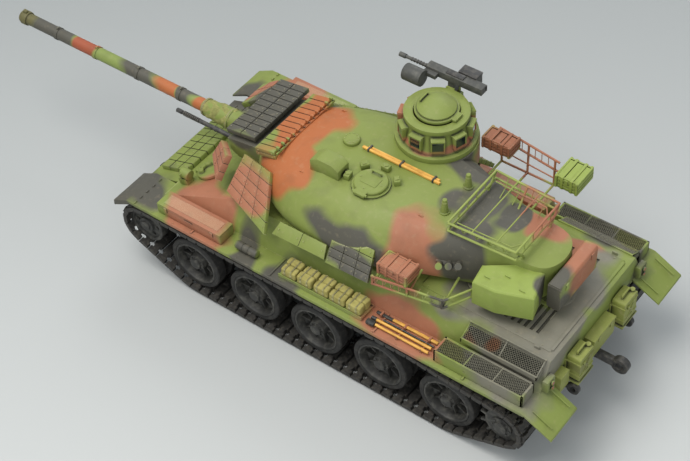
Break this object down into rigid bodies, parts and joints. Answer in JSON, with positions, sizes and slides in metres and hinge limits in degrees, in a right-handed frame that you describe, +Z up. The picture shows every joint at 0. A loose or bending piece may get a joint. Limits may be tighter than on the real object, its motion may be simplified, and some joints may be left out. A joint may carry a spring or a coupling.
{
  "type": "radio-control tank model",
  "caption": "Scale tracked battle tank with traversing turret, elevating gun, sprung road wheels, opening hatches and stowage.",
  "frame": {"origin": "on the ground under the centre of the bounding box of the whole machine, gun included", "axes": "+X forward along the gun, +Y to the left side, +Z up"},
  "size_m": [0.618, 0.1938, 0.18],
  "materials": {
    "camouflage_plastic": "matt three-tone camouflage",
    "track_metal": "dark, worn on the pads",
    "tyre_rubber": "matt",
    "wheel_plastic": "near-black satin",
    "dark_steel": "satin",
    "motor_steel": "plain",
    "battery_wrap": "shrink wrap",
    "board": "lacquered",
    "gear_nylon": "moulded",
    "knob_plastic": "moulded"
  },
  "bodies": {
    "hull": {"hull_tub": "camouflage_plastic", "hull_deck": "camouflage_plastic", "engine_deck": "camouflage_plastic", "fender_left": "camouflage_plastic", "fender_right": "camouflage_plastic", "side_grilles": "camouflage_plastic", "glacis_armour": "camouflage_plastic", "lamps": "camouflage_plastic", "rear_stowage": "camouflage_plastic", "tow_hooks": "dark_steel", "fender_stowage": "camouflage_plastic", "track_left": "track_metal", "track_right": "track_metal", "drive_gearboxes": "motor_steel", "battery": "battery_wrap", "electronics": "board"},
    "power_switch": {"power_switch": "knob_plastic"},
    "driver_hatch": {"driver_hatch": "camouflage_plastic"},
    "sprocket_left": {"sprocket_left": "wheel_plastic"},
    "idler_left": {"idler_left": "wheel_plastic"},
    "return_roller_left_1": {"return_roller_left_1": "wheel_plastic"},
    "return_roller_left_2": {"return_roller_left_2": "wheel_plastic"},
    "swing_arm_left_1": {"swing_arm_left_1": "wheel_plastic"},
    "road_wheel_left_1": {"road_wheel_left_1": "tyre_rubber"},
    "swing_arm_left_2": {"swing_arm_left_2": "wheel_plastic"},
    "road_wheel_left_2": {"road_wheel_left_2": "tyre_rubber"},
    "swing_arm_left_3": {"swing_arm_left_3": "wheel_plastic"},
    "road_wheel_left_3": {"road_wheel_left_3": "tyre_rubber"},
    "swing_arm_left_4": {"swing_arm_left_4": "wheel_plastic"},
    "road_wheel_left_4": {"road_wheel_left_4": "tyre_rubber"},
    "swing_arm_left_5": {"swing_arm_left_5": "wheel_plastic"},
    "road_wheel_left_5": {"road_wheel_left_5": "tyre_rubber"},
    "sprocket_right": {"sprocket_right": "wheel_plastic"},
    "idler_right": {"idler_right": "wheel_plastic"},
    "return_roller_right_1": {"return_roller_right_1": "wheel_plastic"},
    "return_roller_right_2": {"return_roller_right_2": "wheel_plastic"},
    "swing_arm_right_1": {"swing_arm_right_1": "wheel_plastic"},
    "road_wheel_right_1": {"road_wheel_right_1": "tyre_rubber"},
    "swing_arm_right_2": {"swing_arm_right_2": "wheel_plastic"},
    "road_wheel_right_2": {"road_wheel_right_2": "tyre_rubber"},
    "swing_arm_right_3": {"swing_arm_right_3": "wheel_plastic"},
    "road_wheel_right_3": {"road_wheel_right_3": "tyre_rubber"},
    "swing_arm_right_4": {"swing_arm_right_4": "wheel_plastic"},
    "road_wheel_right_4": {"road_wheel_right_4": "tyre_rubber"},
    "swing_arm_right_5": {"swing_arm_right_5": "wheel_plastic"},
    "road_wheel_right_5": {"road_wheel_right_5": "tyre_rubber"},
    "turret": {"turret_shell": "camouflage_plastic", "turret_armour": "camouflage_plastic", "stowage_rack": "camouflage_plastic", "turret_crates": "camouflage_plastic", "roof_fittings": "camouflage_plastic", "elevation_servo": "knob_plastic"},
    "traverse_pinion": {"traverse_pinion": "gear_nylon"},
    "gun": {"mantlet": "camouflage_plastic", "gun_barrel": "camouflage_plastic", "coax_cannon": "dark_steel"},
    "cupola": {"cupola_ring": "camouflage_plastic"},
    "cupola_hatch": {"cupola_hatch": "camouflage_plastic"},
    "cupola_gun": {"cupola_gun": "dark_steel"},
    "loader_hatch": {"loader_hatch": "camouflage_plastic"}
  },
  "joints": [
    {"name": "power_switch_slide", "type": "slide", "parent": "hull", "child": "power_switch", "axis": [1, 0, 0], "range_m": [0, 0.004]},
    {"name": "driver_hatch_hinge", "type": "hinge", "parent": "hull", "child": "driver_hatch", "pos_m": [0.0774, 0.038, 0.07767], "axis": [0, 1, 0], "range_deg": [0, 120]},
    {"name": "left_drive", "type": "hinge", "parent": "hull", "child": "sprocket_left", "pos_m": [-0.2554, 0.0791, 0.0397], "axis": [0, 1, 0], "continuous": true, "deforming": ["track_left"]},
    {"name": "left_idler_spin", "type": "hinge", "parent": "hull", "child": "idler_left", "pos_m": [0.0935, 0.0791, 0.047], "axis": [0, 1, 0], "continuous": true},
    {"name": "left_roller_1_spin", "type": "hinge", "parent": "hull", "child": "return_roller_left_1", "pos_m": [0.011, 0.0791, 0.0582], "axis": [0, 1, 0], "continuous": true},
    {"name": "left_roller_2_spin", "type": "hinge", "parent": "hull", "child": "return_roller_left_2", "pos_m": [-0.174, 0.0791, 0.0582], "axis": [0, 1, 0], "continuous": true},
    {"name": "left_arm_1", "type": "hinge", "parent": "hull", "child": "swing_arm_left_1", "pos_m": [0.0725, 0.0791, 0.04165], "axis": [0, 1, 0], "range_deg": [0, 7], "stiffness_Nm_per_rad": 0.35, "springref_deg": -8.59},
    {"name": "left_wheel_1_spin", "type": "hinge", "parent": "swing_arm_left_1", "child": "road_wheel_left_1", "pos_m": [0.0425, 0.0791, 0.03065], "axis": [0, 1, 0], "continuous": true},
    {"name": "left_arm_2", "type": "hinge", "parent": "hull", "child": "swing_arm_left_2", "pos_m": [0.0105, 0.0791, 0.04165], "axis": [0, 1, 0], "range_deg": [0, 7], "stiffness_Nm_per_rad": 0.35, "springref_deg": -8.59},
    {"name": "left_wheel_2_spin", "type": "hinge", "parent": "swing_arm_left_2", "child": "road_wheel_left_2", "pos_m": [-0.0195, 0.0791, 0.03065], "axis": [0, 1, 0], "continuous": true},
    {"name": "left_arm_3", "type": "hinge", "parent": "hull", "child": "swing_arm_left_3", "pos_m": [-0.0515, 0.0791, 0.04165], "axis": [0, 1, 0], "range_deg": [0, 7], "stiffness_Nm_per_rad": 0.35, "springref_deg": -8.59},
    {"name": "left_wheel_3_spin", "type": "hinge", "parent": "swing_arm_left_3", "child": "road_wheel_left_3", "pos_m": [-0.0815, 0.0791, 0.03065], "axis": [0, 1, 0], "continuous": true},
    {"name": "left_arm_4", "type": "hinge", "parent": "hull", "child": "swing_arm_left_4", "pos_m": [-0.1135, 0.0791, 0.04165], "axis": [0, 1, 0], "range_deg": [0, 7], "stiffness_Nm_per_rad": 0.35, "springref_deg": -8.59},
    {"name": "left_wheel_4_spin", "type": "hinge", "parent": "swing_arm_left_4", "child": "road_wheel_left_4", "pos_m": [-0.1435, 0.0791, 0.03065], "axis": [0, 1, 0], "continuous": true},
    {"name": "left_arm_5", "type": "hinge", "parent": "hull", "child": "swing_arm_left_5", "pos_m": [-0.1755, 0.0791, 0.04165], "axis": [0, 1, 0], "range_deg": [0, 7], "stiffness_Nm_per_rad": 0.35, "springref_deg": -8.59},
    {"name": "left_wheel_5_spin", "type": "hinge", "parent": "swing_arm_left_5", "child": "road_wheel_left_5", "pos_m": [-0.2055, 0.0791, 0.03065], "axis": [0, 1, 0], "continuous": true},
    {"name": "right_drive", "type": "hinge", "parent": "hull", "child": "sprocket_right", "pos_m": [-0.2554, -0.0791, 0.0397], "axis": [0, 1, 0], "continuous": true, "deforming": ["track_right"]},
    {"name": "right_idler_spin", "type": "hinge", "parent": "hull", "child": "idler_right", "pos_m": [0.0935, -0.0791, 0.047], "axis": [0, 1, 0], "continuous": true},
    {"name": "right_roller_1_spin", "type": "hinge", "parent": "hull", "child": "return_roller_right_1", "pos_m": [0.011, -0.0791, 0.0582], "axis": [0, 1, 0], "continuous": true},
    {"name": "right_roller_2_spin", "type": "hinge", "parent": "hull", "child": "return_roller_right_2", "pos_m": [-0.174, -0.0791, 0.0582], "axis": [0, 1, 0], "continuous": true},
    {"name": "right_arm_1", "type": "hinge", "parent": "hull", "child": "swing_arm_right_1", "pos_m": [0.0725, -0.0791, 0.04165], "axis": [0, 1, 0], "range_deg": [0, 7], "stiffness_Nm_per_rad": 0.35, "springref_deg": -8.59},
    {"name": "right_wheel_1_spin", "type": "hinge", "parent": "swing_arm_right_1", "child": "road_wheel_right_1", "pos_m": [0.0425, -0.0791, 0.03065], "axis": [0, 1, 0], "continuous": true},
    {"name": "right_arm_2", "type": "hinge", "parent": "hull", "child": "swing_arm_right_2", "pos_m": [0.0105, -0.0791, 0.04165], "axis": [0, 1, 0], "range_deg": [0, 7], "stiffness_Nm_per_rad": 0.35, "springref_deg": -8.59},
    {"name": "right_wheel_2_spin", "type": "hinge", "parent": "swing_arm_right_2", "child": "road_wheel_right_2", "pos_m": [-0.0195, -0.0791, 0.03065], "axis": [0, 1, 0], "continuous": true},
    {"name": "right_arm_3", "type": "hinge", "parent": "hull", "child": "swing_arm_right_3", "pos_m": [-0.0515, -0.0791, 0.04165], "axis": [0, 1, 0], "range_deg": [0, 7], "stiffness_Nm_per_rad": 0.35, "springref_deg": -8.59},
    {"name": "right_wheel_3_spin", "type": "hinge", "parent": "swing_arm_right_3", "child": "road_wheel_right_3", "pos_m": [-0.0815, -0.0791, 0.03065], "axis": [0, 1, 0], "continuous": true},
    {"name": "right_arm_4", "type": "hinge", "parent": "hull", "child": "swing_arm_right_4", "pos_m": [-0.1135, -0.0791, 0.04165], "axis": [0, 1, 0], "range_deg": [0, 7], "stiffness_Nm_per_rad": 0.35, "springref_deg": -8.59},
    {"name": "right_wheel_4_spin", "type": "hinge", "parent": "swing_arm_right_4", "child": "road_wheel_right_4", "pos_m": [-0.1435, -0.0791, 0.03065], "axis": [0, 1, 0], "continuous": true},
    {"name": "right_arm_5", "type": "hinge", "parent": "hull", "child": "swing_arm_right_5", "pos_m": [-0.1755, -0.0791, 0.04165], "axis": [0, 1, 0], "range_deg": [0, 7], "stiffness_Nm_per_rad": 0.35, "springref_deg": -8.59},
    {"name": "right_wheel_5_spin", "type": "hinge", "parent": "swing_arm_right_5", "child": "road_wheel_right_5", "pos_m": [-0.2055, -0.0791, 0.03065], "axis": [0, 1, 0], "continuous": true},
    {"name": "turret_traverse", "type": "hinge", "parent": "hull", "child": "turret", "pos_m": [-0.067, 0, 0.0973], "axis": [0, 0, 1], "continuous": true},
    {"name": "traverse_pinion_spin", "type": "hinge", "parent": "hull", "child": "traverse_pinion", "pos_m": [-0.1255, 0, 0.0873], "axis": [0, 0, 1], "continuous": true},
    {"name": "gun_elevation", "type": "hinge", "parent": "turret", "child": "gun", "pos_m": [0.01, 0, 0.108], "axis": [0, -1, 0], "range_deg": [-8, 20]},
    {"name": "cupola_traverse", "type": "hinge", "parent": "turret", "child": "cupola", "pos_m": [-0.101, -0.0485, 0.143], "axis": [0, 0, 1], "continuous": true},
    {"name": "cupola_hatch_hinge", "type": "hinge", "parent": "cupola", "child": "cupola_hatch", "pos_m": [-0.1206, -0.0485, 0.1713], "axis": [0, -1, 0], "range_deg": [0, 100]},
    {"name": "cupola_gun_elevation", "type": "hinge", "parent": "cupola", "child": "cupola_gun", "pos_m": [-0.094, -0.082, 0.1645], "axis": [0, -1, 0], "range_deg": [-5, 25]},
    {"name": "loader_hatch_hinge", "type": "hinge", "parent": "turret", "child": "loader_hatch", "pos_m": [-0.091, 0.0407, 0.1464], "axis": [-1, 0, 0], "range_deg": [0, 110]}
  ],
  "couplings": [
    {"joint": "left_idler_spin", "follows": "left_drive", "ratio": 1.0961},
    {"joint": "left_roller_1_spin", "follows": "left_drive", "ratio": 3.1058},
    {"joint": "left_roller_2_spin", "follows": "left_drive", "ratio": 3.1058},
    {"joint": "left_wheel_1_spin", "follows": "left_drive", "ratio": 0.74538},
    {"joint": "left_wheel_2_spin", "follows": "left_drive", "ratio": 0.74538},
    {"joint": "left_wheel_3_spin", "follows": "left_drive", "ratio": 0.74538},
    {"joint": "left_wheel_4_spin", "follows": "left_drive", "ratio": 0.74538},
    {"joint": "left_wheel_5_spin", "follows": "left_drive", "ratio": 0.74538},
    {"joint": "right_idler_spin", "follows": "right_drive", "ratio": 1.0961},
    {"joint": "right_roller_1_spin", "follows": "right_drive", "ratio": 3.1058},
    {"joint": "right_roller_2_spin", "follows": "right_drive", "ratio": 3.1058},
    {"joint": "right_wheel_1_spin", "follows": "right_drive", "ratio": 0.74538},
    {"joint": "right_wheel_2_spin", "follows": "right_drive", "ratio": 0.74538},
    {"joint": "right_wheel_3_spin", "follows": "right_drive", "ratio": 0.74538},
    {"joint": "right_wheel_4_spin", "follows": "right_drive", "ratio": 0.74538},
    {"joint": "right_wheel_5_spin", "follows": "right_drive", "ratio": 0.74538},
    {"joint": "traverse_pinion_spin", "follows": "turret_traverse", "ratio": -3.875}
  ]
}
